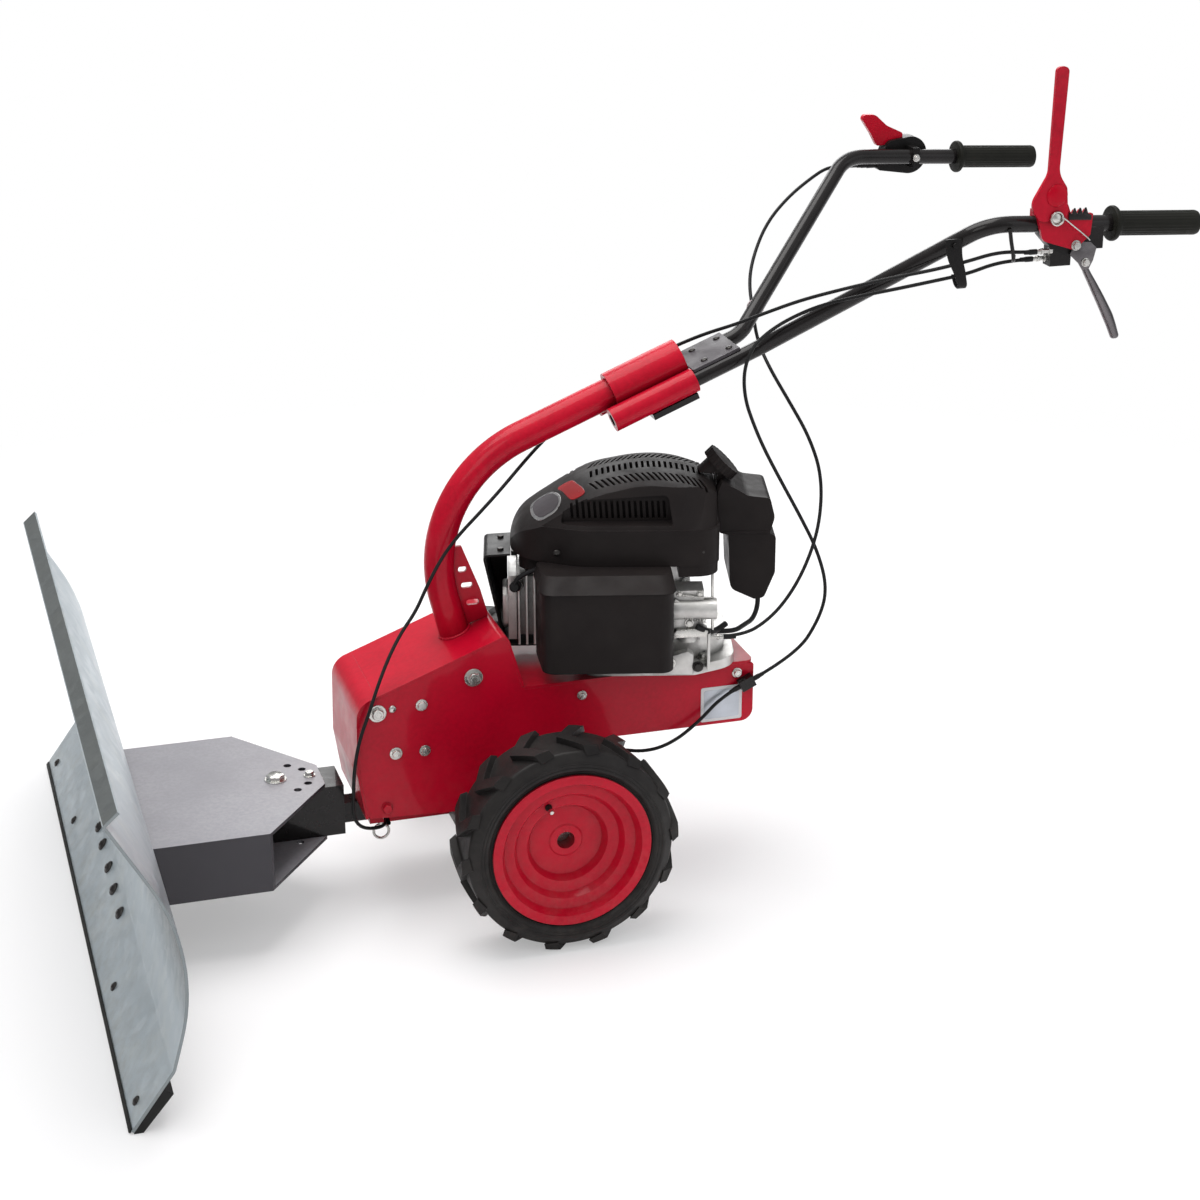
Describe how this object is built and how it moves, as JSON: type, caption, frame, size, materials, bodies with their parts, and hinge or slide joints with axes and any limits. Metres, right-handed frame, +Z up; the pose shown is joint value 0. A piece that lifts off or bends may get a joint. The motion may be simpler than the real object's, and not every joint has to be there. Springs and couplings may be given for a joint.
{
  "type": "walk-behind two-wheel tractor with snow blade",
  "caption": "Pedestrian-steered power unit on lugged wheels, with raised handlebars, a small petrol engine and a front snow blade that swivels on a pin.",
  "frame": {"origin": "on the floor, under the middle of the whole machine's box", "axes": "+X forward towards the blade, +Y to the machine's left, +Z up"},
  "size_m": [1.5231, 1.1, 1.166],
  "materials": {
    "red_paint": "gloss red enamel",
    "black_paint": "gloss black enamel",
    "galvanised": "hot-dip galvanised sheet with faint spangle",
    "grey_arm": "satin grey enamel",
    "grey_plate": "satin dark grey",
    "bare_steel": "zinc plated",
    "cast_case": "cast, dark grey",
    "cast_aluminium": "die cast, matt",
    "engine_plastic": "moulded, matt black",
    "control_plastic": "moulded, black",
    "red_plastic": "moulded, red",
    "tyre_rubber": "moulded tread rubber",
    "grip_rubber": "soft black rubber",
    "strip_rubber": "cut sheet rubber",
    "cable_rubber": "black cable sheath"
  },
  "bodies": {
    "machine": {"air_box": "engine_plastic", "air_box_lid": "engine_plastic", "brake_lever": "bare_steel", "cable_clip": "bare_steel", "carburettor": "cast_aluminium", "clamp_pad": "black_paint", "clamp_plate": "grey_plate", "clutch_cable": "cable_rubber", "column": "red_paint", "coupling_bar": "black_paint", "coupling_cable": "cable_rubber", "coupling_head": "black_paint", "coupling_latch": "bare_steel", "coupling_socket": "red_paint", "cover": "red_paint", "cowl": "engine_plastic", "crankcase": "cast_aluminium", "cylinder": "cast_aluminium", "drive_cable": "cable_rubber", "drive_lever": "red_paint", "engine_tray": "red_paint", "exhaust_guard": "black_paint", "front_plate": "red_paint", "fuel_cap": "engine_plastic", "fuel_hose": "cable_rubber", "fuel_tank": "engine_plastic", "gear_case": "cast_case", "grip_left": "grip_rubber", "grip_right": "grip_rubber", "gusset": "red_paint", "handle_clamp": "red_paint", "handlebar_left": "black_paint", "handlebar_right": "black_paint", "lever_bracket": "red_paint", "lever_clamp": "black_paint", "muffler": "cast_case", "pivot_bolt": "bare_steel", "side_plate_left": "red_paint", "side_plate_right": "red_paint", "throttle_cable": "cable_rubber", "throttle_housing": "control_plastic", "throttle_paddle": "red_plastic"},
    "left_wheel": {"rim_left": "red_paint", "tyre_left": "tyre_rubber", "wheel_shaft_left": "bare_steel"},
    "right_wheel": {"rim_right": "red_paint", "tyre_right": "tyre_rubber", "wheel_shaft_right": "bare_steel"},
    "blade": {"arm": "grey_arm", "blade_carrier": "galvanised", "moldboard": "galvanised", "rubber_strip": "strip_rubber"}
  },
  "joints": [
    {"name": "left_wheel_spin", "type": "hinge", "parent": "machine", "child": "left_wheel", "pos_m": [0.12335, 0.234, 0.1525], "axis": [0, 1, 0], "continuous": true},
    {"name": "right_wheel_spin", "type": "hinge", "parent": "machine", "child": "right_wheel", "pos_m": [0.12335, -0.234, 0.1525], "axis": [0, 1, 0], "continuous": true},
    {"name": "blade_swivel", "type": "hinge", "parent": "machine", "child": "blade", "pos_m": [0.47735, 0, 0.14], "axis": [0, 0, 1], "range_deg": [-30, 30]}
  ]
}
